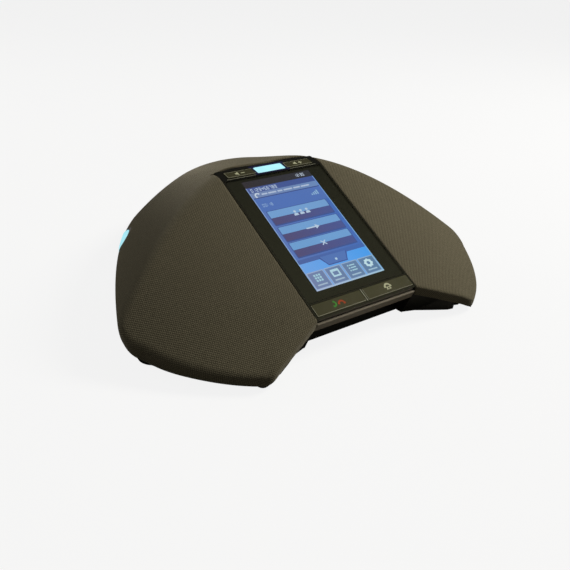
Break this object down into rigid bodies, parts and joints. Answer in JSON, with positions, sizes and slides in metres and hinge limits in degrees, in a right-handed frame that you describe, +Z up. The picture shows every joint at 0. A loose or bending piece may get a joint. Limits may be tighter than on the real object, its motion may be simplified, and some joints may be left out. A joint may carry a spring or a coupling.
{
  "type": "conference phone",
  "caption": "Cloth-covered three-lobed tabletop conference phone with a sloping touch display, press keys, lit mute keys and an internal loudspeaker.",
  "frame": {"origin": "on the desk plane, at the middle of the phone's width and depth", "axes": "+Z up, the display side faces -Y, +X to the right of a person reading the display"},
  "size_m": [0.3206, 0.3109, 0.0969],
  "materials": {
    "cloth": "woven speaker cloth, dark olive grey",
    "shell_plastic": "black moulded ABS",
    "base_plastic": "fine textured dark grey ABS",
    "frame_plastic": "gloss black ABS",
    "trim_plastic": "satin brown grey ABS",
    "cover_glass": "black printed cover glass, gloss",
    "sensor_film": "clear touch sensor",
    "lcd": "lit colour display panel",
    "tray_metal": "pressed backlight tray",
    "steel": "zinc plated steel",
    "key_black": "gloss black key cap",
    "key_lit": "translucent lit key, cool white",
    "silicone": "moulded silicone",
    "black_rubber": "black rubber",
    "circuit": "green solder mask on glass fibre",
    "chip": "black epoxy package",
    "flex_film": "amber flexible circuit",
    "brass": "knurled brass",
    "magnet": "ferrite magnet and steel plates",
    "basket": "black painted pressed steel",
    "cone_paper": "coated paper cone",
    "spider_cloth": "resin treated corrugated cloth",
    "foam": "closed cell foam"
  },
  "bodies": {
    "phone_body": {"backlight_tray": "tray_metal", "base_housing": "base_plastic", "board_screws": "steel", "board_shield": "steel", "bracket_screws": "steel", "chin_trim": "trim_plastic", "connector_panel": "base_plastic", "display_bracket": "steel", "display_flex": "flex_film", "display_frame": "frame_plastic", "fabric_cover": "cloth", "grille_shell": "shell_plastic", "housing_screws": "steel", "key_strip": "frame_plastic", "lcd_panel": "lcd", "left_side_board": "circuit", "left_side_dome": "silicone", "lower_dome_mat": "silicone", "lower_key_board": "circuit", "main_board": "circuit", "microphone_boots": "black_rubber", "microphone_jacks": "chip", "microphones": "tray_metal", "module_screws": "steel", "network_jack": "chip", "processor_chips": "chip", "right_side_board": "circuit", "right_side_dome": "silicone", "rubber_feet": "black_rubber", "service_port": "steel", "speaker_basket": "basket", "speaker_box": "shell_plastic", "speaker_box_screws": "steel", "speaker_gasket": "foam", "speaker_magnet": "magnet", "speaker_screws": "steel", "speaker_spider": "spider_cloth", "speaker_surround": "black_rubber", "threaded_inserts": "brass", "touch_glass": "cover_glass", "touch_sensor": "sensor_film", "upper_dome_mat": "silicone", "upper_key_board": "circuit"},
    "hook_key": {"hook_key": "key_black"},
    "home_key": {"home_key": "key_black"},
    "volume_down_key": {"volume_down_key": "key_black"},
    "volume_up_key": {"volume_up_key": "key_black"},
    "mute_key": {"mute_key": "key_lit"},
    "left_side_key": {"left_side_key": "key_lit"},
    "right_side_key": {"right_side_key": "key_lit"},
    "speaker_cone": {"speaker_cone": "cone_paper"}
  },
  "joints": [
    {"name": "hook_key_press", "type": "slide", "parent": "phone_body", "child": "hook_key", "axis": [0, 0.4796, -0.8775], "range_m": [0, 0.0006], "stiffness_N_per_m": 350},
    {"name": "home_key_press", "type": "slide", "parent": "phone_body", "child": "home_key", "axis": [0, 0.4796, -0.8775], "range_m": [0, 0.0006], "stiffness_N_per_m": 350},
    {"name": "volume_down_key_press", "type": "slide", "parent": "phone_body", "child": "volume_down_key", "axis": [0, 0.2351, -0.972], "range_m": [0, 0.0006], "stiffness_N_per_m": 350},
    {"name": "volume_up_key_press", "type": "slide", "parent": "phone_body", "child": "volume_up_key", "axis": [0, 0.2351, -0.972], "range_m": [0, 0.0006], "stiffness_N_per_m": 350},
    {"name": "mute_key_press", "type": "slide", "parent": "phone_body", "child": "mute_key", "axis": [0, 0.2351, -0.972], "range_m": [0, 0.0006], "stiffness_N_per_m": 350},
    {"name": "left_side_key_press", "type": "slide", "parent": "phone_body", "child": "left_side_key", "axis": [0.866, -0.5, 0], "range_m": [0, 0.0006], "stiffness_N_per_m": 350},
    {"name": "right_side_key_press", "type": "slide", "parent": "phone_body", "child": "right_side_key", "axis": [-0.866, -0.5, 0], "range_m": [0, 0.0006], "stiffness_N_per_m": 350},
    {"name": "cone_travel", "type": "slide", "parent": "phone_body", "child": "speaker_cone", "axis": [0, 0, 1], "range_m": [-0.0015, 0.0015], "stiffness_N_per_m": 1200, "deforming": ["speaker_surround", "speaker_spider"]}
  ]
}
